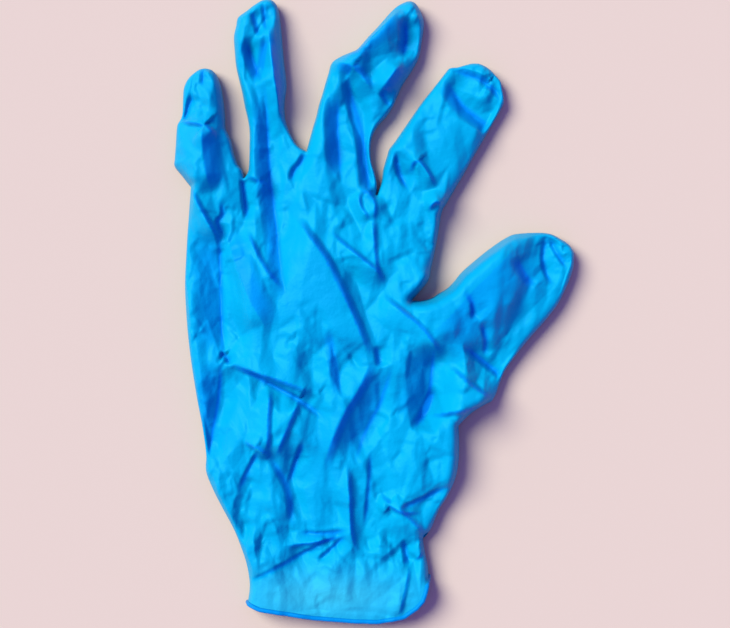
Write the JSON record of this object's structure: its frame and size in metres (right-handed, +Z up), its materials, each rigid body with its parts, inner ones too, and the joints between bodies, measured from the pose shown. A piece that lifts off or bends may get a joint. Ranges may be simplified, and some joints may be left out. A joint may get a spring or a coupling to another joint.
{
  "type": "nitrile exam glove",
  "caption": "Thin blue dip-moulded exam glove lying flat and empty, fingers spread, crumpled film, rolled bead round the open cuff.",
  "frame": {"origin": "middle of the glove's box, on the surface that it lies on", "axes": "+Y from the cuff to the fingertips, +X towards the thumb, +Z up from the surface"},
  "size_m": [0.1552, 0.2416, 0.0204],
  "materials": {
    "nitrile_film": "satin dip-moulded film, slightly translucent"
  },
  "bodies": {
    "root": {"glove": "nitrile_film"}
  },
  "joints": []
}
